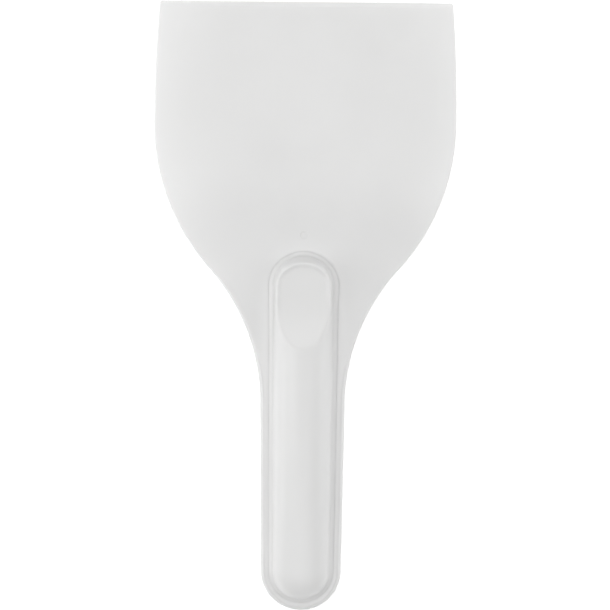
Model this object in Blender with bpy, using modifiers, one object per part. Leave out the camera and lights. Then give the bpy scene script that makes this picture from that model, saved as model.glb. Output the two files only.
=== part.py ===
"""Hand-held bench scraper: a full-length blade plate, a hollow front grip and a flush back cover.

Metres, +Z up. The scraper lies on its flat back at Z = 0 with its working edge towards +Y, and the
origin is under the middle of its box. The grip's spigots pass through the plate's tang, and the
back cover's pegs fit into them, so that the tang is held between grip and cover.
"""

import math

import bmesh
import bpy

# Outline of the blade plate
OVERALL_LENGTH = 0.201
BLADE_WIDTH = 0.100  # at the widest point
WIDEST_FROM_EDGE = 0.040
EDGE_DRAW_IN = 0.0015  # each side of the working edge, from the widest point
SHOULDER_RADIUS = 0.072  # the blade drawing in
NECK_RADIUS = 0.067  # the flare into the handle
HANDLE_WIDTH = 0.0279  # where the neck ends
HANDLE_END_WIDTH = 0.0265
CORNER_RADIUS = 0.0008

# Thickness of the blade plate
PLATE_THICKNESS = 0.0030
HEEL_THICKNESS = 0.0024  # at the heel of the bevel
EDGE_THICKNESS = 0.0008  # the land left at the working edge
BEVEL_LENGTH = 0.0020
TOP_ROUNDING = 0.0006
BACK_ROUNDING = 0.0003
TAPER_LEAD = 0.0075  # full thickness kept in front of the grip's nose

# The mark that the moulding gate leaves in front of the nose
GATE_LEAD = 0.0046
GATE_RADIUS = 0.0013
GATE_DEPTH = 0.00025

# The front grip. Its middle line arches from the nose, over the crown, down to the end
NOSE_FROM_EDGE = 0.0819
FLANGE = 0.0018  # tang left showing round the foot of the grip
NOSE_HEIGHT = 0.0064
CROWN_HEIGHT = 0.0092
END_HEIGHT = 0.0070
CROWN_AT = 0.40  # share of the grip's length, from the nose
FULLNESS = 2.4  # of its section: 2 is an ellipse, more is squarer
NOSE_RAMP = 0.68  # share of the nose's radius that its ramp takes
NOSE_STRAIGHTNESS = 0.6  # 1 is a straight ramp, less eases it in and out
NOSE_LIP = 0.06  # share of the height that stands upright at the foot of the nose
GRIP_WALL = 0.0020

# The thumb scoop, cut into the top of the grip: it falls behind the nose and climbs to the crown
SCOOP_RIM = 0.0035  # side of the grip left standing beside the scoop
SCOOP_FROM_NOSE = 0.0137  # to the centre of its rounded front
SCOOP_LENGTH = 0.036
SCOOP_CORNER = 0.0026  # height over which its floor curls up into its sides
SCOOP_SQUARENESS = 3.0
SCOOP_BASE = 0.0024  # over the grip's foot, where the two slopes of the floor would meet
SCOOP_FALL = 0.25
SCOOP_CLIMB = 0.33
SCOOP_EASE = 0.0050  # how gently one slope turns into the other

# Inside the grip
WEB_THICKNESS = 0.0014
CROSS_RIBS = 4
BOSSES = 3
BOSS_RADIUS = 0.0040
SPIGOT_RADIUS = 0.0030
PEG_RADIUS = 0.0016
SOCKET_DEPTH = 0.0042
FIRST_BOSS = 0.0170  # from the nose
LAST_BOSS = 0.0170  # from the end of the grip

# The back cover, let into the back of the tang
COVER_THICKNESS = 0.0012
COVER_LEDGE = 0.0025  # from the foot of the grip in to the rebate

FIT_GAP = 0.0003  # between pieces that meet

BLADE_COLOUR = (0.78, 0.78, 0.77, 1)
GRIP_COLOUR = (0.77, 0.77, 0.76, 1)
ROUGHNESS = 0.42

# Worked out from the sizes above
EDGE_Y = OVERALL_LENGTH / 2
WIDEST_Y = EDGE_Y - WIDEST_FROM_EDGE
END_RADIUS = HANDLE_END_WIDTH / 2
END_CENTRE_Y = END_RADIUS - OVERALL_LENGTH / 2
NOSE_Y = EDGE_Y - NOSE_FROM_EDGE
NOSE_RADIUS = HANDLE_WIDTH / 2 - FLANGE
GRIP_END_Y = FLANGE - OVERALL_LENGTH / 2
GRIP_LENGTH = NOSE_Y - GRIP_END_Y
FOOT_Z = PLATE_THICKNESS + FIT_GAP
REBATE_DEPTH = COVER_THICKNESS + FIT_GAP
SPIGOT_Z = REBATE_DEPTH
SOCKET_RADIUS = PEG_RADIUS + FIT_GAP
CUT = 0.002  # how far cutters run past what they cut
SAME = 1e-6  # points closer than this are one point


def clear_scene():
    for obj in list(bpy.data.objects):
        bpy.data.objects.remove(obj, do_unlink=True)


def new_collection(name):
    made = bpy.data.collections.new(name)
    bpy.context.scene.collection.children.link(made)
    return made


def plastic(name, colour):
    made = bpy.data.materials.new(name)
    made.use_nodes = True
    shader = made.node_tree.nodes["Principled BSDF"]
    shader.inputs["Base Color"].default_value = colour
    shader.inputs["Roughness"].default_value = ROUGHNESS
    shader.inputs["Metallic"].default_value = 0
    return made


def add_object(name, mesh, collection):
    made = bpy.data.objects.new(name, mesh)
    collection.objects.link(made)
    return made


def mesh_object(name, bm, collection):
    mesh = bpy.data.meshes.new(name)
    bm.to_mesh(mesh)
    bm.free()
    return add_object(name, mesh, collection)


def finish(obj, material):
    obj.data.materials.clear()
    obj.data.materials.append(material)
    obj.data.shade_smooth()
    obj.data.set_sharp_from_angle(angle=math.radians(35))


def helper(obj):
    """Keeps a cutter out of the render and shows it as wire."""
    obj.hide_render = True
    obj.display_type = "WIRE"
    return obj


def boolean(obj, operation, other):
    made = obj.modifiers.new(f"{operation} {other.name}".lower(), "BOOLEAN")
    made.operation = operation
    made.solver = "EXACT"
    made.object = other


def arc(x, y, radius, start, end, steps):
    """Points on an arc about (x, y), angles in radians from +X, both ends included."""
    angles = [start + (end - start) * i / steps for i in range(steps + 1)]
    return [(x + radius * math.cos(a), y + radius * math.sin(a)) for a in angles]


def plate_outline():
    """The closed outline of the blade and its tang: arcs that meet in a tangent, and a straight handle."""
    half_blade, half_handle = BLADE_WIDTH / 2, HANDLE_WIDTH / 2
    side_radius = (WIDEST_FROM_EDGE**2 + EDGE_DRAW_IN**2) / (2 * EDGE_DRAW_IN)
    side_x = half_blade - side_radius
    corner_y = EDGE_Y - CORNER_RADIUS
    corner_x = side_x + math.sqrt((side_radius - CORNER_RADIUS) ** 2 - (corner_y - WIDEST_Y) ** 2)
    corner_turn = math.atan2(corner_y - WIDEST_Y, corner_x - side_x)
    both = SHOULDER_RADIUS + NECK_RADIUS
    sweep = math.acos(1 - (half_blade - half_handle) / both)
    neck_y = WIDEST_Y - both * math.sin(sweep)
    half = arc(corner_x, corner_y, CORNER_RADIUS, math.pi / 2, corner_turn, 4)
    half += arc(side_x, WIDEST_Y, side_radius, corner_turn, 0, 8)[1:]
    half += arc(half_blade - SHOULDER_RADIUS, WIDEST_Y, SHOULDER_RADIUS, 0, -sweep, 16)[1:]
    half += arc(half_handle + NECK_RADIUS, neck_y, NECK_RADIUS, math.pi - sweep, math.pi, 16)[1:]
    half += arc(0, END_CENTRE_Y, END_RADIUS, 0, -math.pi / 2, 12)
    return half + [(-x, y) for x, y in reversed(half[:-1])]


def pill(inset):
    """(front centre Y, front radius, rear centre Y, rear radius) of the grip's foot outline, drawn in by inset."""
    return NOSE_Y - NOSE_RADIUS, NOSE_RADIUS - inset, END_CENTRE_Y, END_RADIUS - FLANGE - inset


def pill_outline(inset):
    front_y, front_radius, rear_y, rear_radius = pill(inset)
    front = arc(0, front_y, front_radius, 0, math.pi, 24)
    return front + arc(0, rear_y, rear_radius, math.pi, 2 * math.pi, 24)


def flat_solid(name, outline, bottom, thickness, collection):
    """A flat outline extruded upwards from bottom, as a closed mesh with whole faces."""
    curve = bpy.data.curves.new(name, "CURVE")
    curve.dimensions = "2D"
    curve.fill_mode = "BOTH"
    curve.extrude = thickness / 2
    spline = curve.splines.new("POLY")
    spline.points.add(len(outline) - 1)
    for point, (x, y) in zip(spline.points, outline):
        point.co = (x, y, 0, 1)
    spline.use_cyclic_u = True
    drawn = bpy.data.objects.new(name + "_outline", curve)
    drawn.location.z = bottom + thickness / 2
    collection.objects.link(drawn)
    bpy.context.view_layer.update()
    evaluated = drawn.evaluated_get(bpy.context.evaluated_depsgraph_get())
    bm = bmesh.new()
    bm.from_mesh(bpy.data.meshes.new_from_object(evaluated))
    bmesh.ops.remove_doubles(bm, verts=bm.verts, dist=SAME)
    bmesh.ops.dissolve_limit(bm, angle_limit=math.radians(0.1), verts=bm.verts, edges=bm.edges)
    bmesh.ops.recalc_face_normals(bm, faces=bm.faces)
    made = mesh_object(name, bm, collection)
    made.matrix_world = drawn.matrix_world
    bpy.data.objects.remove(drawn)
    return made


def cylinder(name, radius, bottom, top, y, collection, segments=32):
    bm = bmesh.new()
    bmesh.ops.create_cone(
        bm, cap_ends=True, segments=segments, radius1=radius, radius2=radius, depth=top - bottom
    )
    made = mesh_object(name, bm, collection)
    made.location = (0, y, (bottom + top) / 2)
    return made


def block(name, size, centre, collection):
    bm = bmesh.new()
    bmesh.ops.create_cube(bm, size=1)
    bmesh.ops.scale(bm, vec=size, verts=bm.verts)
    made = mesh_object(name, bm, collection)
    made.location = centre
    return made


def boss_places():
    """Y of each boss, from the nose to the end of the grip."""
    first, last = NOSE_Y - FIRST_BOSS, GRIP_END_Y + LAST_BOSS
    return [first + (last - first) * i / (BOSSES - 1) for i in range(BOSSES)]


def blade_height(y):
    """Top of the plate at y: full thickness, then the blade's taper, then the bevel."""
    taper_y, heel_y = NOSE_Y + TAPER_LEAD, EDGE_Y - BEVEL_LENGTH
    if y <= taper_y:
        return PLATE_THICKNESS
    if y <= heel_y:
        share = (y - taper_y) / (heel_y - taper_y)
        return PLATE_THICKNESS + (HEEL_THICKNESS - PLATE_THICKNESS) * share
    share = (y - heel_y) / BEVEL_LENGTH
    return HEEL_THICKNESS + (EDGE_THICKNESS - HEEL_THICKNESS) * share


def thin_the_blade(plate):
    """Creases the plate where the taper and the bevel start, then lowers its top between them."""
    middle = PLATE_THICKNESS / 2
    bm = bmesh.new()
    bm.from_mesh(plate.data)
    for y in (NOSE_Y + TAPER_LEAD, EDGE_Y - BEVEL_LENGTH):
        everything = bm.verts[:] + bm.edges[:] + bm.faces[:]
        bmesh.ops.bisect_plane(bm, geom=everything, plane_co=(0, y, 0), plane_no=(0, 1, 0))
    for vert in bm.verts:
        if vert.co.z > 0:
            vert.co.z = blade_height(vert.co.y) - middle
    weight = bm.edges.layers.float.new("bevel_weight_edge")
    for edge in bm.edges:
        upper = [vert.co.z > -middle + EDGE_THICKNESS / 2 for vert in edge.verts]
        rim = edge.calc_face_angle(0) > math.radians(50)
        front = all(vert.co.y > EDGE_Y - SAME for vert in edge.verts)
        if rim and not front and all(upper):
            edge[weight] = 1
        elif rim and not front and not any(upper):
            edge[weight] = BACK_ROUNDING / TOP_ROUNDING
    bm.to_mesh(plate.data)
    bm.free()


def build_plate(parts, cutters, material):
    plate = flat_solid("blade_plate", plate_outline(), 0, PLATE_THICKNESS, parts)
    thin_the_blade(plate)
    rounding = plate.modifiers.new("rounded edges", "BEVEL")
    rounding.limit_method = "WEIGHT"
    rounding.width = TOP_ROUNDING
    rounding.segments = 3
    outline = pill_outline(COVER_LEDGE)
    rebate = helper(flat_solid("cover_rebate", outline, -CUT, CUT + REBATE_DEPTH, cutters))
    boolean(plate, "DIFFERENCE", rebate)
    for i, y in enumerate(boss_places(), 1):
        hole = cylinder(f"spigot_hole_{i}", SPIGOT_RADIUS + FIT_GAP, -CUT, FOOT_Z + CUT, y, cutters)
        boolean(plate, "DIFFERENCE", helper(hole))
    gate_y = NOSE_Y + GATE_LEAD
    floor = blade_height(gate_y) - GATE_DEPTH
    gate = cylinder("gate_mark", GATE_RADIUS, floor, FOOT_Z + CUT, gate_y, cutters, 24)
    boolean(plate, "DIFFERENCE", helper(gate))
    finish(plate, material)


def crown(y):
    """Height of the grip's middle line over its foot: an arch, lowest at the nose."""
    share = min(max((NOSE_Y - y) / GRIP_LENGTH, 0), 1)
    if share < CROWN_AT:
        low, away = NOSE_HEIGHT, (CROWN_AT - share) / CROWN_AT
    else:
        low, away = END_HEIGHT, (share - CROWN_AT) / (1 - CROWN_AT)
    return CROWN_HEIGHT - (CROWN_HEIGHT - low) * away**2


def grip_columns(inset):
    """(spine Y, radius, direction) of each point round the foot of the grip, drawn in by inset."""
    front_y, front_radius, rear_y, rear_radius = pill(inset)
    turns, strides = 22, 10
    found = [(front_y, front_radius, math.pi * i / turns) for i in range(turns)]
    for i in range(strides):
        along = i / strides
        radius = front_radius + (rear_radius - front_radius) * along
        found.append((front_y + (rear_y - front_y) * along, radius, math.pi))
    found += [(rear_y, rear_radius, math.pi + math.pi * i / turns) for i in range(turns)]
    for i in range(strides):
        along = i / strides
        radius = rear_radius + (front_radius - rear_radius) * along
        found.append((rear_y + (front_y - rear_y) * along, radius, 2 * math.pi))
    return found


def height_share(inward, direction):
    """Share of the grip's height at a share inward from its foot: a round side, or the nose's ramp."""
    side = (1 - (1 - inward) ** FULLNESS) ** (1 / FULLNESS)
    along = min(inward / NOSE_RAMP, 1)
    eased = along * along * (3 - 2 * along)
    ramp = NOSE_STRAIGHTNESS * along + (1 - NOSE_STRAIGHTNESS) * eased
    nose = NOSE_LIP + (1 - NOSE_LIP) * ramp
    facing = max(math.sin(direction), 0)
    return side + (nose - side) * facing


def grip_form(name, inset, skirt, collection):
    """The grip's dome, drawn in by inset all over, with walls that reach down by skirt below its foot."""
    rings = 11
    columns = grip_columns(inset)
    bm = bmesh.new()
    rows = []
    if skirt:
        rows.append([(y + r * math.sin(a), r * math.cos(a), FOOT_Z - skirt) for y, r, a in columns])
    for k in range(rings + 1):
        inward = 1 - math.cos(math.pi / 2 * k / rings)
        row = []
        for spine_y, radius, direction in columns:
            reach = radius * (1 - inward)
            y = spine_y + reach * math.sin(direction)
            share = height_share(inward, direction) if k else 0
            row.append((y, reach * math.cos(direction), FOOT_Z + (crown(y) - inset) * share))
        rows.append(row)
    made_rows = [[bm.verts.new((x, y, z)) for y, x, z in row] for row in rows]
    for row, following in zip(made_rows, made_rows[1:]):
        for i in range(len(row)):
            j = (i + 1) % len(row)
            bm.faces.new((row[i], row[j], following[j], following[i]))
    bm.faces.new(made_rows[0])
    bmesh.ops.remove_doubles(bm, verts=bm.verts, dist=SAME)
    bmesh.ops.recalc_face_normals(bm, faces=bm.faces)
    return mesh_object(name, bm, collection)


def scoop_floor(behind):
    """Height of the scoop's floor over the grip's foot, at a distance behind the nose."""
    away = behind - SCOOP_FROM_NOSE
    lean = (SCOOP_CLIMB - SCOOP_FALL) / 2
    spread = (SCOOP_CLIMB + SCOOP_FALL) / 2
    return SCOOP_BASE + lean * away + spread * math.sqrt(away**2 + SCOOP_EASE**2)


def scoop_form(name, grow, collection):
    """The scoop as a solid, grown by grow: a trough with a rounded front, open towards the handle."""
    radius = NOSE_RADIUS - SCOOP_RIM + grow
    turns, strides, arch = 11, 7, 14
    stations = []
    for i in range(1, turns):
        turn = math.pi / 2 * i / turns
        stations.append((SCOOP_FROM_NOSE - radius * math.cos(turn), radius * math.sin(turn)))
    for i in range(strides + 1):
        stations.append((SCOOP_FROM_NOSE + (SCOOP_LENGTH - SCOOP_FROM_NOSE) * i / strides, radius))
    bm = bmesh.new()
    rows = []
    for behind, half in stations:
        floor = FOOT_Z + scoop_floor(behind) - grow
        ring = [(half, FOOT_Z + 2 * CROWN_HEIGHT)]
        for i in range(arch + 1):
            cos, sin = math.cos(math.pi * i / arch), max(math.sin(math.pi * i / arch), 0)
            curl = 1 - sin ** (2 / SCOOP_SQUARENESS)
            x = math.copysign(half * abs(cos) ** (2 / SCOOP_SQUARENESS), cos)
            ring.append((x, floor + SCOOP_CORNER * curl))
        ring.append((-half, FOOT_Z + 2 * CROWN_HEIGHT))
        rows.append([bm.verts.new((x, NOSE_Y - behind, z)) for x, z in ring])
    count = len(rows[0])
    for row, following in zip(rows, rows[1:]):
        for i in range(count):
            j = (i + 1) % count
            bm.faces.new((row[i], row[j], following[j], following[i]))
    bm.faces.new(rows[0])
    bm.faces.new(rows[-1])
    bmesh.ops.recalc_face_normals(bm, faces=bm.faces)
    return mesh_object(name, bm, collection)


def build_cavity(cutters):
    """The grip's hollow, less its web, cross ribs and bosses and the wall under the scoop."""
    cavity = helper(grip_form("grip_cavity", GRIP_WALL, CUT, cutters))
    boolean(cavity, "DIFFERENCE", helper(scoop_form("scoop_wall", GRIP_WALL, cutters)))
    reach = 2 * (CROWN_HEIGHT + CUT)
    middle_y = (NOSE_Y + GRIP_END_Y) / 2
    web = block("web", (WEB_THICKNESS, OVERALL_LENGTH, reach), (0, middle_y, FOOT_Z), cutters)
    boolean(cavity, "DIFFERENCE", helper(web))
    places = boss_places()
    pitch = (places[0] - places[-1]) / CROSS_RIBS
    for i in range(CROSS_RIBS):
        y = places[0] - pitch * (i + 0.5)
        rib = block(f"cross_rib_{i + 1}", (BLADE_WIDTH, WEB_THICKNESS, reach), (0, y, FOOT_Z), cutters)
        boolean(cavity, "DIFFERENCE", helper(rib))
    for i, y in enumerate(places, 1):
        column = cylinder(f"boss_{i}", BOSS_RADIUS, FOOT_Z - 2 * CUT, FOOT_Z + CROWN_HEIGHT, y, cutters)
        boolean(cavity, "DIFFERENCE", helper(column))
    return cavity


def build_grip(parts, cutters, material):
    grip = grip_form("front_grip", 0, 0, parts)
    boolean(grip, "DIFFERENCE", helper(scoop_form("thumb_scoop", 0, cutters)))
    boolean(grip, "DIFFERENCE", build_cavity(cutters))
    for i, y in enumerate(boss_places(), 1):
        root = FOOT_Z + GRIP_WALL / 2
        spigot = cylinder(f"spigot_{i}", SPIGOT_RADIUS, SPIGOT_Z, root, y, cutters)
        boolean(grip, "UNION", helper(spigot))
    for i, y in enumerate(boss_places(), 1):
        top = SPIGOT_Z + SOCKET_DEPTH
        socket = cylinder(f"socket_{i}", SOCKET_RADIUS, SPIGOT_Z - CUT, top, y, cutters, 24)
        boolean(grip, "DIFFERENCE", helper(socket))
    finish(grip, material)


def build_cover(parts, cutters, material):
    outline = pill_outline(COVER_LEDGE + FIT_GAP)
    cover = flat_solid("back_cover", outline, 0, COVER_THICKNESS, parts)
    for i, y in enumerate(boss_places(), 1):
        top = SPIGOT_Z + SOCKET_DEPTH - FIT_GAP
        peg = cylinder(f"peg_{i}", PEG_RADIUS, COVER_THICKNESS / 2, top, y, cutters, 24)
        boolean(cover, "UNION", helper(peg))
    finish(cover, material)


def main():
    clear_scene()
    parts = new_collection("bench_scraper")
    cutters = new_collection("cutters")
    build_plate(parts, cutters, plastic("blade plastic", BLADE_COLOUR))
    grip_plastic = plastic("grip plastic", GRIP_COLOUR)
    build_grip(parts, cutters, grip_plastic)
    build_cover(parts, cutters, grip_plastic)


main()
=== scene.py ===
import math

import bmesh
import bpy
from mathutils import Euler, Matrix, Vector


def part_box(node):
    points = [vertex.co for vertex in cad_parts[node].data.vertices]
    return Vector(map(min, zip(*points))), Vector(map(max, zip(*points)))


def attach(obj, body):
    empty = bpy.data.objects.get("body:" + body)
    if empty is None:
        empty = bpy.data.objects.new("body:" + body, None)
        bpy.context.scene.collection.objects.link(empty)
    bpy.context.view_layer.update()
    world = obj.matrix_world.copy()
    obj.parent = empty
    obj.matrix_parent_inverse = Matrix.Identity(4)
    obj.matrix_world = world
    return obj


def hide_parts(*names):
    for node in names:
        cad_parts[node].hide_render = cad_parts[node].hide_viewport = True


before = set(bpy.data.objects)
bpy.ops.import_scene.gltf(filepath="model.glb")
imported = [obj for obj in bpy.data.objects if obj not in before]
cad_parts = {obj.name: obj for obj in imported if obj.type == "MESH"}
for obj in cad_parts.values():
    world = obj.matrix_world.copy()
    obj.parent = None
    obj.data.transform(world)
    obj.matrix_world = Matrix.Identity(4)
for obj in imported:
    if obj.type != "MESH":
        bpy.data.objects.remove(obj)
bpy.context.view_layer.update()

mm = 0.001
hair = 0.01 * mm  # closer than this counts as the same place
sharpFrom = 35  # degrees between two faces that still shade as one


def startPoint(name, x, y, z=0):
    # a small plane merged to its middle, which leaves one point to draw an outline from
    bpy.ops.object.select_all(action="DESELECT")
    bpy.ops.mesh.primitive_plane_add(size=mm, location=(0, 0, 0))
    piece = bpy.context.object
    piece.name = name
    piece.data.name = name
    bpy.ops.object.mode_set(mode="EDIT")
    bpy.ops.mesh.select_mode(type="VERT")  # a lone point can't be picked in the other modes
    bpy.ops.mesh.select_all(action="SELECT")
    bpy.ops.mesh.merge(type="CENTER")
    bpy.ops.transform.translate(value=(x, y, z))
    return piece


def lineBy(x, y, z=0, steps=1):
    step = (x / steps, y / steps, z / steps)
    for i in range(steps):
        bpy.ops.mesh.extrude_region_move(TRANSFORM_OT_translate={"value": step})


def arcRound(x, y, turn, steps):
    # a positive turn goes clockwise, seen from above
    bpy.ops.mesh.spin(steps=steps, angle=turn, center=(x, y, 0), axis=(0, 0, 1))


def raiseBy(height):
    bpy.ops.mesh.extrude_region_move(TRANSFORM_OT_translate={"value": (0, 0, height)})


def pick(piece, wanted, kind="VERT"):
    # selects what wanted() says yes to, and nothing else
    bpy.ops.mesh.select_mode(type=kind)
    bpy.ops.mesh.select_all(action="DESELECT")
    shape = bmesh.from_edit_mesh(piece.data)
    shape.normal_update()
    items = {"VERT": shape.verts, "EDGE": shape.edges, "FACE": shape.faces}[kind]
    for item in items:
        if not item.hide and wanted(item):
            item.select_set(True)
    bmesh.update_edit_mesh(piece.data)


def mirrorAndFill():
    # the drawn half outline gets its mirror image, and the closed outline becomes one face
    bpy.ops.mesh.select_mode(type="VERT")
    bpy.ops.mesh.select_all(action="SELECT")
    bpy.ops.mesh.duplicate()
    bpy.ops.transform.resize(value=(-1, 1, 1), center_override=(0, 0, 0))
    bpy.ops.mesh.select_all(action="SELECT")
    bpy.ops.mesh.remove_doubles(threshold=hair)
    bpy.ops.mesh.edge_face_add()
    bpy.ops.mesh.normals_make_consistent(inside=False)


def faceOutwards():
    bpy.ops.mesh.select_all(action="SELECT")
    bpy.ops.mesh.normals_make_consistent(inside=False)


def leaveEdit():
    bpy.ops.object.mode_set(mode="OBJECT")


def useModifier(piece, kind, **values):
    made = piece.modifiers.new(kind.title(), kind)
    for key, value in values.items():
        setattr(made, key, value)
    bpy.ops.object.select_all(action="DESELECT")
    piece.select_set(True)
    bpy.context.view_layer.objects.active = piece
    bpy.ops.object.modifier_apply(modifier=made.name)


def cutWith(piece, tool, operation="DIFFERENCE"):
    useModifier(piece, "BOOLEAN", operation=operation, solver="EXACT", object=tool)
    bpy.data.objects.remove(tool)


def smoothShade(piece):
    bpy.ops.object.select_all(action="DESELECT")
    piece.select_set(True)
    bpy.context.view_layer.objects.active = piece
    bpy.ops.object.shade_smooth_by_angle(angle=math.radians(sharpFrom))


bladePlastic = {
    "colour": (0.864, 0.864, 0.861, 1),
    "colourShade": (0.848, 0.848, 0.845, 1),
    "roughness": (0.36, 0.5),
    "ior": 1.5,
    "glowScale": 1.9 * mm,  # light seeps far through the thin blade, and less by the tang
    "tangGlowScale": 0.9 * mm,
    "glowFrom": 20 * mm,
    "glowTo": 45 * mm,
    "grainSize": 2600,
    "grainDepth": 0.006 * mm,
    "scuffFrom": 62 * mm,  # fine scraping marks, from here to the working edge
    "scuffTo": 99 * mm,
    "scuffStretch": 0.05,
    "scuffSize": 1500,
    "scuffShare": (0.58, 0.72),  # of the noise: where a mark begins and where it is full
    "scuffDepth": 0.012 * mm,
    "scuffDulling": 0.15,
}
gripPlastic = {
    "colour": (0.87, 0.87, 0.866, 1),
    "colourShade": (0.855, 0.855, 0.85, 1),
    "roughness": (0.38, 0.52),
    "ior": 1.5,
    "glowScale": 0.4 * mm,
    "grainSize": 2200,
    "grainDepth": 0.007 * mm,
    "polishFrom": 6 * mm,  # the palm polishes what stands higher than this
    "polishTo": 12.4 * mm,
    "polish": 0.09,  # taken off the roughness at the crown
}
bothPlastics = {
    "flowSize": 22,  # slow flow marks shift the colour a little
    "flowShare": (0.35, 0.65),
    "sheenSize": 90,
    "sheenShare": (0.3, 0.7),
    "coarseness": 0.6,
    "reliefStrength": 0.5,
}


def mouldedPlastic(name, look):
    both = bothPlastics
    made = bpy.data.materials.new(name)
    made.use_nodes = True
    nodes, links = made.node_tree.nodes, made.node_tree.links
    shader = nodes["Principled BSDF"]
    shader.inputs["IOR"].default_value = look["ior"]
    shader.inputs["Subsurface Weight"].default_value = 1
    shader.inputs["Subsurface Radius"].default_value = (1, 1, 1)
    shader.inputs["Subsurface Scale"].default_value = look["glowScale"]
    place = nodes.new("ShaderNodeTexCoord").outputs["Object"]
    across = nodes.new("ShaderNodeSeparateXYZ")
    links.new(place, across.inputs["Vector"])

    def noise(size, detail, coarseness=0.5, vector=place):
        node = nodes.new("ShaderNodeTexNoise")
        node.inputs["Scale"].default_value = size
        node.inputs["Detail"].default_value = detail
        node.inputs["Roughness"].default_value = coarseness
        links.new(vector, node.inputs["Vector"])
        return node.outputs["Fac"]

    def spread(source, fromLow, fromHigh, toLow, toHigh):
        node = nodes.new("ShaderNodeMapRange")
        node.interpolation_type = "SMOOTHSTEP"
        node.inputs["From Min"].default_value = fromLow
        node.inputs["From Max"].default_value = fromHigh
        node.inputs["To Min"].default_value = toLow
        node.inputs["To Max"].default_value = toHigh
        links.new(source, node.inputs["Value"])
        return node.outputs["Result"]

    def combine(kind, first, second):
        node = nodes.new("ShaderNodeMath")
        node.operation = kind
        links.new(first, node.inputs[0])
        links.new(second, node.inputs[1])
        return node.outputs["Value"]

    def relief(height, depth, below=None):
        node = nodes.new("ShaderNodeBump")
        node.inputs["Strength"].default_value = both["reliefStrength"]
        node.inputs["Distance"].default_value = depth
        links.new(height, node.inputs["Height"])
        if below:
            links.new(below, node.inputs["Normal"])
        return node.outputs["Normal"]

    ramp = nodes.new("ShaderNodeValToRGB")
    for element, position, colour in zip(
            ramp.color_ramp.elements, both["flowShare"], (look["colourShade"], look["colour"])):
        element.position = position
        element.color = colour
    links.new(noise(both["flowSize"], 3), ramp.inputs["Fac"])
    links.new(ramp.outputs["Color"], shader.inputs["Base Color"])

    sheen = spread(noise(both["sheenSize"], 6, both["coarseness"]),
                   *both["sheenShare"], *look["roughness"])
    # fine spark-eroded grain of the mould
    surface = relief(noise(look["grainSize"], 2), look["grainDepth"])

    if "tangGlowScale" in look:
        glow = spread(across.outputs["Y"], look["glowFrom"], look["glowTo"],
                      look["tangGlowScale"], look["glowScale"])
        links.new(glow, shader.inputs["Subsurface Scale"])
    if "scuffFrom" in look:
        along = nodes.new("ShaderNodeMapping")
        along.inputs["Scale"].default_value = (1, look["scuffStretch"], 1)
        links.new(place, along.inputs["Vector"])
        streaks = noise(look["scuffSize"], 3, both["coarseness"], along.outputs["Vector"])
        marks = spread(streaks, *look["scuffShare"], 0, 1)
        where = spread(across.outputs["Y"], look["scuffFrom"], look["scuffTo"], 0, 1)
        scuffs = combine("MULTIPLY", marks, where)
        surface = relief(scuffs, -look["scuffDepth"], surface)
        sheen = combine("ADD", sheen, spread(scuffs, 0, 1, 0, look["scuffDulling"]))
    if "polish" in look:
        polish = spread(across.outputs["Z"], look["polishFrom"], look["polishTo"],
                        0, look["polish"])
        sheen = combine("SUBTRACT", sheen, polish)
    links.new(sheen, shader.inputs["Roughness"])
    links.new(surface, shader.inputs["Normal"])
    return made


plateLow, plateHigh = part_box("blade_plate")
gripLow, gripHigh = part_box("front_grip")
coverLow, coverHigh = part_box("back_cover")

plateShape = {
    "widestFromEdge": 40 * mm,
    "edgeDrawIn": 1.5 * mm,
    "shoulderRadius": 72 * mm,
    "neckRadius": 67 * mm,
    "handleWidth": 27.9 * mm,
    "handleEndWidth": 26.5 * mm,
    "cornerRadius": 0.8 * mm,
    "cornerShare": 0.95,  # of half the width, past which the working edge counts as its corner
    "heelThickness": 2.4 * mm,
    "edgeThickness": 0.8 * mm,
    "bevelLength": 2.0 * mm,
    "taperLead": 7.5 * mm,  # full thickness ahead of the grip's nose
    "crownDrop": 1.75 * mm,  # how much thinner the sides of the blade are
    "crownReach": 24 * mm,
    "crownFrom": 10 * mm,  # the crown fades out below this line
    "rounding": 1.3 * mm,  # round the tang's rim
    "bladeShare": 0.4,  # of the rounding, round the blade
    "backShare": 0.16,  # of the rounding, round the back
    "edgeShare": 0.12,  # of the rounding, at the working edge
    "rimAngle": 50,  # edges sharper than this are rounded
    "tangBlend": 30 * mm,
    # less in all than the outline's steps near its corners
    "rings": (1.2 * mm, 1.2 * mm, 1.6 * mm, 3.5 * mm),
    "grid": 4 * mm,
    "gridLines": 24,  # on each side of the middle
    "seam": 0.12 * mm,  # round the cover
    "recessDepth": 1.5 * mm,
    "gateLead": 4.6 * mm,
    "gateRadius": 1.3 * mm,
    "gateDepth": 0.25 * mm,
    "gateRounding": 0.12 * mm,
}
flange = plateShape["handleWidth"] / 2 - gripHigh.x
endRadius = plateShape["handleEndWidth"] / 2
endCentreY = plateLow.y + endRadius
coverEndRadius = endRadius - (coverLow.y - plateLow.y)


def drawPlateOutline():
    s = plateShape
    halfBlade, halfHandle = plateHigh.x, s["handleWidth"] / 2
    sideRadius = (s["widestFromEdge"] ** 2 + s["edgeDrawIn"] ** 2) / (2 * s["edgeDrawIn"])
    widestY = plateHigh.y - s["widestFromEdge"]
    both = s["shoulderRadius"] + s["neckRadius"]
    sweep = math.acos(1 - (halfBlade - halfHandle) / both)
    neckY = widestY - both * math.sin(sweep)
    piece = startPoint("bladePlate", 0, plateHigh.y)
    lineBy(halfBlade - s["edgeDrawIn"], 0, steps=4)
    arcRound(halfBlade - sideRadius, widestY, math.asin(s["widestFromEdge"] / sideRadius), 4)
    arcRound(halfBlade - s["shoulderRadius"], widestY, sweep, 48)
    arcRound(halfHandle + s["neckRadius"], neckY, -sweep, 48)
    lineBy(endRadius - halfHandle, endCentreY - neckY, steps=12)
    arcRound(0, endCentreY, math.pi / 2, 28)
    mirrorAndFill()
    return piece


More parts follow.
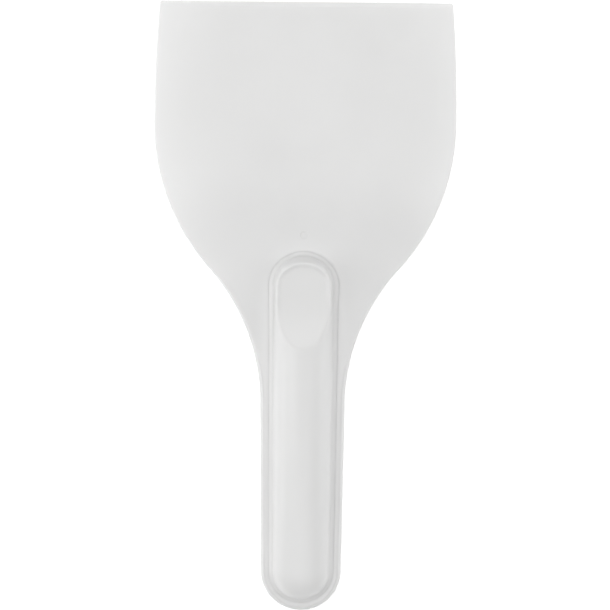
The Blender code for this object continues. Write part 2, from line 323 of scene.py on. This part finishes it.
def ruleAcross(piece):
    # rings that follow the outline, with a square grid inside them, so that the top can be curved
    def cut(place, way):
        bpy.ops.mesh.bisect(plane_co=place, plane_no=way)

    for width in plateShape["rings"]:
        bpy.ops.mesh.inset(thickness=width, depth=0, use_boundary=True)
    bpy.ops.mesh.hide(unselected=True)
    step = plateShape["grid"]
    for i in range(-plateShape["gridLines"], plateShape["gridLines"] + 1):
        bpy.ops.mesh.select_all(action="SELECT")
        cut((0, i * step, 0), (0, 1, 0))
        bpy.ops.mesh.select_all(action="SELECT")
        cut((i * step, 0, 0), (1, 0, 0))
    bpy.ops.mesh.reveal(select=False)
    for y in (plateHigh.y - plateShape["bevelLength"], gripHigh.y + plateShape["taperLead"]):
        bpy.ops.mesh.select_all(action="SELECT")
        cut((0, y, 0), (0, 1, 0))
    bpy.ops.mesh.select_all(action="SELECT")
    bpy.ops.mesh.remove_doubles(threshold=2 * hair)


def curveTheTop(piece):
    s = plateShape
    heelY = plateHigh.y - s["bevelLength"]
    taperY = gripHigh.y + s["taperLead"]
    half = plateHigh.z / 2
    pick(piece, lambda v: v.co.z > half)
    bpy.ops.mesh.hide(unselected=True)

    def onBladeSide(v):
        rim = any(e.other_vert(v).co.z < half for e in v.link_edges)
        atEdge = v.co.y > plateHigh.y - hair
        atCorner = abs(v.co.x) > plateHigh.x * s["cornerShare"]
        return rim and v.co.y > s["crownFrom"] and (not atEdge or atCorner)

    pick(piece, onBladeSide)
    bpy.ops.transform.translate(
        value=(0, 0, -s["crownDrop"]), use_proportional_edit=True,
        proportional_edit_falloff="SHARP", proportional_size=s["crownReach"])
    pick(piece, lambda v: v.co.y > heelY - hair)
    bpy.ops.transform.resize(
        value=(1, 1, s["heelThickness"] / plateHigh.z), center_override=(0, 0, 0),
        use_proportional_edit=True, proportional_edit_falloff="LINEAR",
        proportional_size=heelY - taperY)
    pick(piece, lambda v: v.co.y > plateHigh.y - hair)
    bpy.ops.transform.resize(
        value=(1, 1, s["edgeThickness"] / s["heelThickness"]), center_override=(0, 0, 0),
        use_proportional_edit=True, proportional_edit_falloff="LINEAR",
        proportional_size=s["bevelLength"])
    bpy.ops.mesh.reveal(select=False)


def roundTheRims(piece):
    s = plateShape
    cornerX = plateHigh.x - s["edgeDrawIn"]

    def atCorner(e):
        a, b = e.verts
        return abs(a.co.z - b.co.z) > hair and all(
            v.co.y > plateHigh.y - hair and abs(v.co.x) > cornerX - hair for v in e.verts)

    pick(piece, atCorner, "EDGE")
    bpy.ops.mesh.bevel(
        offset=s["cornerRadius"], segments=6, affect="EDGES", clamp_overlap=False)
    leaveEdit()
    shape = bmesh.new()
    shape.from_mesh(piece.data)
    shape.normal_update()
    weight = shape.edges.layers.float.new("bevel_weight_edge")
    for e in shape.edges:
        if e.calc_face_angle(0) > math.radians(s["rimAngle"]):
            high, low = max(v.co.y for v in e.verts), min(v.co.y for v in e.verts)
            onBack = all(v.co.z < hair for v in e.verts)
            alongTang = min(1, max(0, (s["crownFrom"] - high) / s["tangBlend"]))
            if onBack:
                e[weight] = s["backShare"]
            elif low > plateHigh.y - s["bevelLength"] + hair:
                e[weight] = s["edgeShare"]
            else:
                e[weight] = s["bladeShare"] + (1 - s["bladeShare"]) * alongTang
    shape.to_mesh(piece.data)
    shape.free()
    useModifier(piece, "BEVEL", limit_method="WEIGHT", width=s["rounding"], segments=4,
                use_clamp_overlap=False)


def drawPill(name, frontTipY, frontRadius, rearTipY, rearRadius, z, sideSteps=1, arcSteps=30):
    # two round ends and the straight sides between them
    piece = startPoint(name, 0, frontTipY, z)
    frontY, rearY = frontTipY - frontRadius, rearTipY + rearRadius
    arcRound(0, frontY, math.pi / 2, arcSteps)
    lineBy(rearRadius - frontRadius, rearY - frontY, steps=sideSteps)
    arcRound(0, rearY, math.pi / 2, arcSteps)
    mirrorAndFill()
    return piece


def mouldPlate():
    s = plateShape
    piece = drawPlateOutline()
    ruleAcross(piece)
    bpy.ops.mesh.select_all(action="SELECT")
    raiseBy(plateHigh.z)
    faceOutwards()
    curveTheTop(piece)
    roundTheRims(piece)
    seam = s["seam"]
    recess = drawPill("recess", coverHigh.y + seam, coverHigh.x + seam, coverLow.y - seam,
                      coverEndRadius + seam, -mm)
    raiseBy(mm + s["recessDepth"])
    faceOutwards()
    leaveEdit()
    cutWith(piece, recess)
    bpy.ops.object.select_all(action="DESELECT")
    gateY = gripHigh.y + s["gateLead"]
    bpy.ops.mesh.primitive_cylinder_add(
        vertices=48, radius=s["gateRadius"], depth=2 * mm,
        location=(0, gateY, plateHigh.z - s["gateDepth"] + mm))
    gate = bpy.context.object
    useModifier(gate, "BEVEL", width=s["gateRounding"], segments=3)
    cutWith(piece, gate)
    smoothShade(piece)
    useModifier(piece, "WEIGHTED_NORMAL", keep_sharp=True)
    return piece


gripShape = {
    "sunk": 1.4 * mm,  # how far its wall goes down into the seat
    "noseHeight": 6.7 * mm,
    "endHeight": 5.4 * mm,
    "crownAt": 0.40,  # of the length, behind the nose
    "fullness": 2.2,  # of the section: 2 is an ellipse, more is squarer
    "featherWidth": 0.8 * mm,  # of the thin edge that lies in the seat
    "footSlope": 16,  # degrees
    "footBlend": 2.2 * mm,
    "footSteepest": 80,  # degrees, where the blend meets the dome
    "footSteps": 6,
    "domeSteps": 28,
    "lip": 0.15 * mm,
    "rampSlopes": (35, 62),  # degrees, from the foot to the crest
    "rampStep": 0.6 * mm,
    "rampSteps": 16,
    "rampBend": 6,  # steps until it is at its steepest
    "rampSpare": 0.6 * mm,  # how far the prism stands out from the dome
    "scoopRim": 2.9 * mm,
    "scoopFront": 4.1 * mm,  # behind the nose
    "frontLean": 14,  # degrees, as are its fall and climb
    "scoopLength": 44.6 * mm,
    "scoopLowest": 13.0 * mm,  # behind the nose
    "scoopFloor": 4.1 * mm,  # lowest point of its floor over the foot
    "scoopBend": 32 * mm,
    "scoopFall": 24,
    "scoopClimb": 20,
    "scoopCorner": 2.1 * mm,
    "scoopTall": 14 * mm,  # higher than the crown
    "grain": 0.34 * mm,
    "softening": 8,
    "upperSoftening": 26,  # above softFrom only, which spares the thin foot
    "softFrom": 1.6 * mm,
}


def drawDome():
    s = gripShape
    foot, near = plateHigh.z, 2 * hair
    wide, rearRadius = gripHigh.x, endRadius - flange
    frontY, rearY = gripHigh.y - wide, gripLow.y + rearRadius
    dip = s["featherWidth"] * math.tan(math.radians(s["footSlope"]))
    piece = drawPill("frontGrip", gripHigh.y, wide, rearY - wide, wide, foot - s["sunk"], 28, 36)
    raiseBy(s["sunk"] - dip)
    faceOutwards()
    pick(piece, lambda f: f.calc_center_median().z > foot - dip - near, "FACE")
    height = gripHigh.z - foot + dip
    blend = s["footBlend"]
    inward, up = 0, 0  # how far the section has come from the foot

    def stepTo(nextInward, nextUp):
        nonlocal inward, up
        bpy.ops.mesh.inset(thickness=nextInward - inward, depth=nextUp - up)
        inward, up = nextInward, nextUp

    # its feather edge comes out of the seat at a low slope and bends up into the full section
    slope = math.radians(s["footSlope"])
    stepTo(s["featherWidth"], s["featherWidth"] * math.tan(slope))
    featherIn, featherUp = inward, up
    for i in range(1, s["footSteps"] + 1):
        turn = slope + (math.radians(s["footSteepest"]) - slope) * i / s["footSteps"]
        stepTo(featherIn + blend * (math.sin(turn) - math.sin(slope)),
               featherUp + blend * (math.cos(slope) - math.cos(turn)))
    reach, rise = wide - inward - 2 * near, height - up
    wallFoot, wallBase = inward, up
    for i in range(1, s["domeSteps"] + 1):
        turn = math.pi / 2 * i / s["domeSteps"]
        stepTo(wallFoot + reach * (1 - math.cos(turn) ** (2 / s["fullness"])),
               wallBase + rise * math.sin(turn) ** (2 / s["fullness"]))
    # its sides draw in a little towards the end
    narrower = rearRadius / wide
    pick(piece, lambda v: v.co.y < rearY + near)
    bpy.ops.transform.resize(
        value=(narrower, narrower, 1), center_override=(0, rearY, 0),
        use_proportional_edit=True, proportional_edit_falloff="LINEAR",
        proportional_size=frontY - rearY)
    # its back is arched: lower at the nose and at the end
    length, tallest = gripHigh.y - gripLow.y, gripHigh.z - foot
    pick(piece, lambda v: v.co.z > foot - near)
    bpy.ops.mesh.hide(unselected=True)
    pick(piece, lambda v: v.co.y > gripHigh.y - mm)
    bpy.ops.transform.resize(
        value=(1, 1, s["noseHeight"] / tallest), center_override=(0, 0, foot),
        use_proportional_edit=True, proportional_edit_falloff="SHARP",
        proportional_size=length * s["crownAt"])
    pick(piece, lambda v: v.co.y < gripLow.y + mm)
    bpy.ops.transform.resize(
        value=(1, 1, s["endHeight"] / tallest), center_override=(0, 0, foot),
        use_proportional_edit=True, proportional_edit_falloff="SHARP",
        proportional_size=length * (1 - s["crownAt"]))
    bpy.ops.mesh.reveal(select=False)
    leaveEdit()
    return piece


def drawRamp():
    # a tall prism whose round front leans back as it rises, steeper towards its top
    s = gripShape
    spare, near = s["rampSpare"], 2 * hair
    radius = gripHigh.x + spare
    bottom = plateHigh.z - 2 * s["sunk"]
    piece = drawPill("ramp", gripHigh.y, radius, gripLow.y - spare, radius, bottom)
    top = plateHigh.z + s["lip"]
    raiseBy(top - bottom)
    faceOutwards()
    low, high = s["rampSlopes"]
    frontY = gripHigh.y - radius
    for i in range(s["rampSteps"]):
        slope = low + (high - low) * min(1, i / s["rampBend"])
        pick(piece, lambda f: f.calc_center_median().z > top - near and abs(f.normal.z) > 0.9,
             "FACE")
        raiseBy(s["rampStep"])
        top += s["rampStep"]
        pick(piece, lambda v: v.co.z > top - near and v.co.y > frontY - near)
        lean = s["rampStep"] / math.tan(math.radians(slope))
        bpy.ops.transform.translate(value=(0, -lean, 0))
        frontY -= lean
    faceOutwards()
    leaveEdit()
    return piece


def drawScoop():
    # a trough: its section is drawn across the grip, swept along an arc, then run out straight
    s = gripShape
    wide = gripHigh.x - s["scoopRim"]
    lowestY = gripHigh.y - s["scoopLowest"]
    floor = plateHigh.z + s["scoopFloor"]
    corner, tall, near = s["scoopCorner"], s["scoopTall"], 2 * hair
    centre = (0, lowestY, floor + s["scoopBend"])
    piece = startPoint("scoop", -wide, lowestY, floor + tall)
    lineBy(0, 0, corner - tall)
    inner = wide - corner
    bpy.ops.mesh.spin(
        steps=10, angle=math.pi / 2, center=(-inner, lowestY, floor + corner), axis=(0, 1, 0))
    lineBy(2 * inner, 0)
    bpy.ops.mesh.spin(
        steps=10, angle=math.pi / 2, center=(inner, lowestY, floor + corner), axis=(0, 1, 0))
    lineBy(0, 0, tall - corner)
    bpy.ops.mesh.select_all(action="SELECT")
    bpy.ops.mesh.edge_face_add()
    fall, climb = math.radians(s["scoopFall"]), math.radians(s["scoopClimb"])
    bpy.ops.transform.rotate(value=-fall, orient_axis="X", center_override=centre)
    bpy.ops.mesh.spin(steps=24, angle=fall + climb, center=centre, axis=(1, 0, 0))
    runOut = s["scoopLength"]
    lineBy(0, -runOut * math.cos(climb), runOut * math.sin(climb))
    faceOutwards()
    leaveEdit()
    # its front is round, and curls up from a floor that leans as the trough does there
    frontY = gripHigh.y - s["scoopFront"]
    lean = math.radians(s["frontLean"])
    frontFloor = floor + s["scoopBend"] * (1 - math.cos(lean)) - near
    restY = lowestY + s["scoopBend"] * math.sin(lean)
    front = drawPill("scoopFront", frontY, wide, frontY - runOut, wide, frontFloor)
    raiseBy(3 * tall)
    faceOutwards()
    pick(front, lambda e: all(v.co.z < frontFloor + near for v in e.verts), "EDGE")
    bpy.ops.mesh.bevel(offset=corner, segments=10, affect="EDGES", clamp_overlap=False)
    bpy.ops.mesh.select_all(action="SELECT")
    bpy.ops.transform.rotate(
        value=-lean, orient_axis="X", center_override=(0, restY, frontFloor))
    leaveEdit()
    cutWith(piece, front, "INTERSECT")
    return piece


def mouldGrip():
    s = gripShape
    piece = drawDome()
    cutWith(piece, drawRamp(), "INTERSECT")
    cutWith(piece, drawScoop())
    useModifier(piece, "REMESH", mode="VOXEL", voxel_size=s["grain"], use_smooth_shade=True)
    useModifier(piece, "SMOOTH", factor=0.5, iterations=s["softening"])
    upper = piece.vertex_groups.new(name="upper")
    softFromZ = plateHigh.z + s["softFrom"]
    upper.add([v.index for v in piece.data.vertices if v.co.z > softFromZ], 1, "REPLACE")
    useModifier(piece, "SMOOTH", factor=0.5, iterations=s["upperSoftening"], vertex_group="upper")
    return piece


coverShape = {
    "thickness": 1.2 * mm,
    "rounding": 0.22 * mm,
    "rimAngle": 50,
}


def mouldCover():
    s = coverShape
    piece = drawPill("backCover", coverHigh.y, coverHigh.x, coverLow.y, coverEndRadius, 0, 12)
    raiseBy(s["thickness"])
    faceOutwards()
    leaveEdit()
    useModifier(piece, "BEVEL", width=s["rounding"], segments=3, limit_method="ANGLE",
                angle_limit=math.radians(s["rimAngle"]))
    smoothShade(piece)
    return piece


bladePlate = mouldPlate()
print("blade plate", len(bladePlate.data.polygons), "faces")
frontGrip = mouldGrip()
print("front grip", len(frontGrip.data.polygons), "faces")
backCover = mouldCover()
print("back cover", len(backCover.data.polygons), "faces")

bladeFinish = mouldedPlastic("bladePlastic", bladePlastic)
gripFinish = mouldedPlastic("gripPlastic", gripPlastic)
for piece, node, slotName, finish in (
    (bladePlate, "blade_plate", "blade", bladeFinish),
    (frontGrip, "front_grip", "grip", gripFinish),
    (backCover, "back_cover", "grip", gripFinish),
):
    piece.data.materials.clear()
    piece.data.materials.append(finish)
    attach(piece, "root")
    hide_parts(node)

studio = {
    "floorSize": 3,
    "floorDrop": 0.2 * mm,
    "floorColour": (0.95, 0.95, 0.95, 1),
    "floorRoughness": 0.9,
    "floorGlow": 0.4,
    "worldStrength": 0.12,
    "lampDistance": 1.2,
    "lampSize": 0.6,
    # bearing and height of each lamp in degrees, and its power
    "lamps": {
        "leftLow": (186, 26, 3.4),
        "leftHigh": (184, 62, 3.2),
        "rightLow": (0, 22, 3.2),
        "rightHigh": (0, 65, 1.1),
        "backMiddle": (90, 48, 2.5),
        "backLow": (90, 20, 1.3),
        "frontHigh": (270, 65, 2.7),
    },
    "cameraPlace": (0.5 * mm, 0.2 * mm, 673 * mm),
    "lens": 120,
    "sensor": 36,
    "lean": 0.6,  # degrees
}


def layFloor():
    bpy.ops.object.select_all(action="DESELECT")
    bpy.ops.mesh.primitive_plane_add(
        size=studio["floorSize"], location=(0, 0, -studio["floorDrop"]))
    floor = bpy.context.object
    floor.name = "floor"
    bpy.ops.object.transform_apply(location=True)
    paper = bpy.data.materials.new("studioPaper")
    paper.use_nodes = True
    shader = paper.node_tree.nodes["Principled BSDF"]
    shader.inputs["Base Color"].default_value = studio["floorColour"]
    shader.inputs["Roughness"].default_value = studio["floorRoughness"]
    shader.inputs["Emission Color"].default_value = (1, 1, 1, 1)
    shader.inputs["Emission Strength"].default_value = studio["floorGlow"]
    floor.data.materials.append(paper)


def hangLamps():
    world = bpy.data.worlds.new("studio")
    bpy.context.scene.world = world
    world.use_nodes = True
    sky = world.node_tree.nodes["Background"]
    sky.inputs["Color"].default_value = (1, 1, 1, 1)
    sky.inputs["Strength"].default_value = studio["worldStrength"]
    for name, (bearing, height, power) in studio["lamps"].items():
        place = Vector((studio["lampDistance"], 0, 0))
        place.rotate(Euler((0, -math.radians(height), math.radians(bearing))))
        facing = place.to_track_quat("Z", "Y").to_euler()  # it shines at the middle
        bpy.ops.object.light_add(type="AREA", location=place, rotation=facing)
        lamp = bpy.context.object
        lamp.name = name
        lamp.data.size = studio["lampSize"]
        lamp.data.energy = power
        lamp.visible_camera = False


def setCamera():
    bpy.ops.object.camera_add(
        location=studio["cameraPlace"], rotation=(0, 0, math.radians(studio["lean"])))
    camera = bpy.context.object
    camera.data.lens = studio["lens"]
    camera.data.sensor_width = studio["sensor"]
    camera.data.clip_start = 0.01
    camera.data.clip_end = 20
    bpy.context.scene.camera = camera
    bpy.context.scene.view_settings.view_transform = "Standard"


layFloor()
hangLamps()
setCamera()
print("floor, lamps and camera are set")
